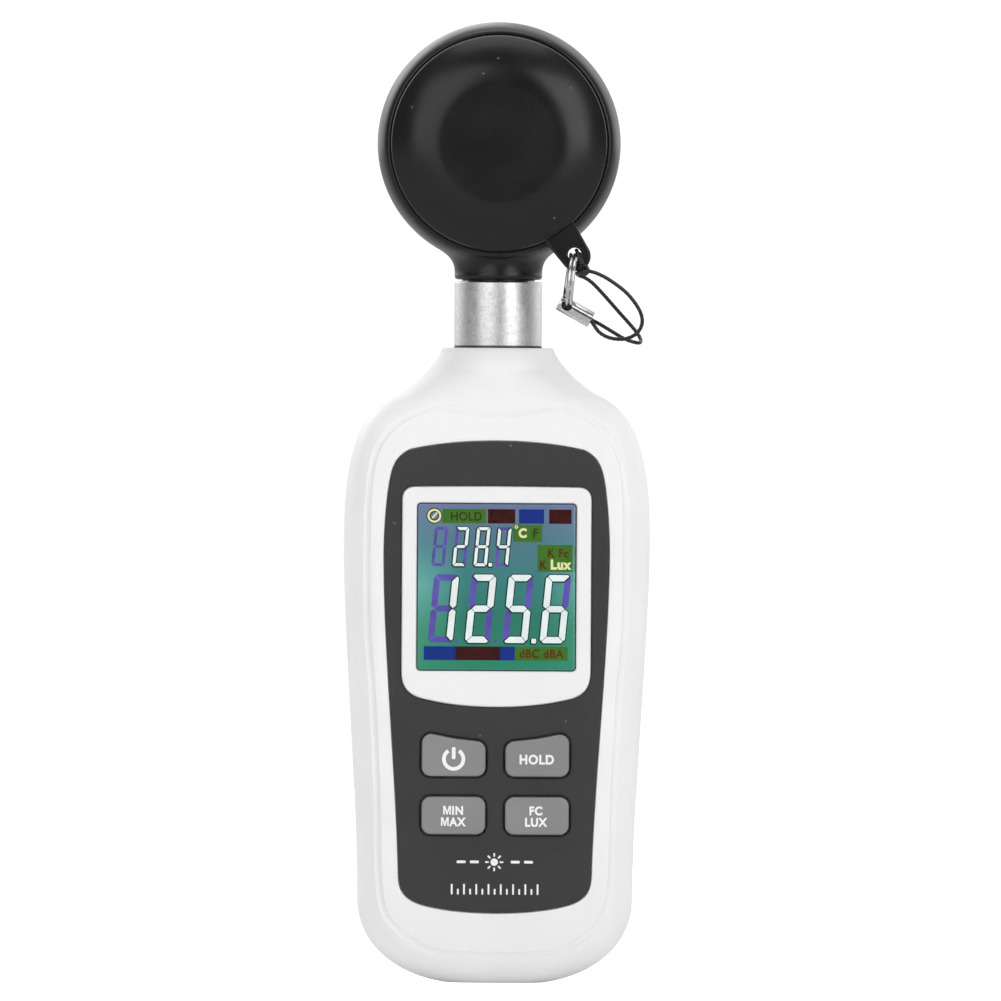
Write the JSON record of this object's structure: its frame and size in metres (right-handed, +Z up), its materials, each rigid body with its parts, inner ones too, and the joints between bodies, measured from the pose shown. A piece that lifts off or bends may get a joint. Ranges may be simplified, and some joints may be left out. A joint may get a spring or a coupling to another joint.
{
  "type": "handheld light meter",
  "caption": "Handheld light meter: rounded handset with display, keys and battery door, and a swivelling round sensor head under a tethered pull-off cap.",
  "frame": {"origin": "centre of the part's bounding box at the flat foot that it stands on", "axes": "+Z up through the neck to the sensor head, -Y out of the display, +X to the right of someone reading it"},
  "size_m": [0.051, 0.028, 0.16],
  "materials": {
    "housing_white": "fine satin moulding texture",
    "fascia_charcoal": "matt panel",
    "bezel_white": "smooth",
    "window_clear": "clear",
    "lcd": "display",
    "backlight": "light guide",
    "key_grey": "matt silicone",
    "inner_black": "moulded",
    "board_green": "solder mask",
    "component_black": "epoxy",
    "spring_steel": "bright",
    "contact_brass": "plated",
    "cell_wrap": "plain wrap",
    "label_silver": "blank label",
    "lead_red": "insulation",
    "sleeve_aluminium": "bead blasted",
    "bush_natural": "acetal",
    "head_black": "fine texture",
    "diffuser_opal": "opal",
    "filter_green": "filter glass",
    "sensor_die": "clear window",
    "cap_black": "soft matt",
    "ring_steel": "nickel plated",
    "cord_black": "braided"
  },
  "bodies": {
    "handset": {"front_housing": "housing_white", "rear_housing": "housing_white", "housing_screws": "spring_steel", "fascia_panel": "fascia_charcoal", "display_bezel": "bezel_white", "display_window": "window_clear", "lcd_glass": "lcd", "lcd_frame": "inner_black", "lcd_backlight": "backlight", "connector_strip": "key_grey", "main_board": "board_green", "board_components": "component_black", "key_domes": "spring_steel", "key_mat": "key_grey", "battery_cells": "cell_wrap", "battery_springs": "spring_steel", "battery_contacts": "contact_brass", "battery_leads": "lead_red", "rating_label": "label_silver", "neck_sleeve": "sleeve_aluminium", "swivel_bush": "bush_natural", "sensor_leads": "lead_red"},
    "power_button": {"power_key": "key_grey"},
    "hold_button": {"hold_key": "key_grey"},
    "minmax_button": {"minmax_key": "key_grey"},
    "unit_button": {"unit_key": "key_grey"},
    "battery_cover": {"battery_door": "housing_white"},
    "sensor_head": {"swivel_clip": "spring_steel", "head_rear_shell": "head_black", "head_front_ring": "head_black", "head_screws": "spring_steel", "diffuser_dome": "diffuser_opal", "diffuser_ring": "inner_black", "colour_filter": "filter_green", "photodiode": "sensor_die", "sensor_board": "board_green", "thermistor": "component_black"},
    "cap": {"sensor_cap": "cap_black", "tether_ring": "ring_steel", "tether_ferrule": "ring_steel", "tether_cord": "cord_black", "tether_knot": "cord_black"}
  },
  "joints": [
    {"name": "head_swivel", "type": "hinge", "parent": "handset", "child": "sensor_head", "pos_m": [0, 0, 0.107], "axis": [0, 0, 1], "range_deg": [-135, 135]},
    {"name": "cap_pull", "type": "slide", "parent": "sensor_head", "child": "cap", "axis": [0, -1, 0], "range_m": [0, 0.03]},
    {"name": "battery_door_hinge", "type": "hinge", "parent": "handset", "child": "battery_cover", "pos_m": [0, 0.0131, 0.0172], "axis": [-1, 0, 0], "range_deg": [0, 70]},
    {"name": "power_press", "type": "slide", "parent": "handset", "child": "power_button", "axis": [0, 1, 0], "range_m": [0, 0.0008], "stiffness_N_per_m": 600},
    {"name": "hold_press", "type": "slide", "parent": "handset", "child": "hold_button", "axis": [0, 1, 0], "range_m": [0, 0.0008], "stiffness_N_per_m": 600},
    {"name": "minmax_press", "type": "slide", "parent": "handset", "child": "minmax_button", "axis": [0, 1, 0], "range_m": [0, 0.0008], "stiffness_N_per_m": 600},
    {"name": "unit_press", "type": "slide", "parent": "handset", "child": "unit_button", "axis": [0, 1, 0], "range_m": [0, 0.0008], "stiffness_N_per_m": 600}
  ]
}
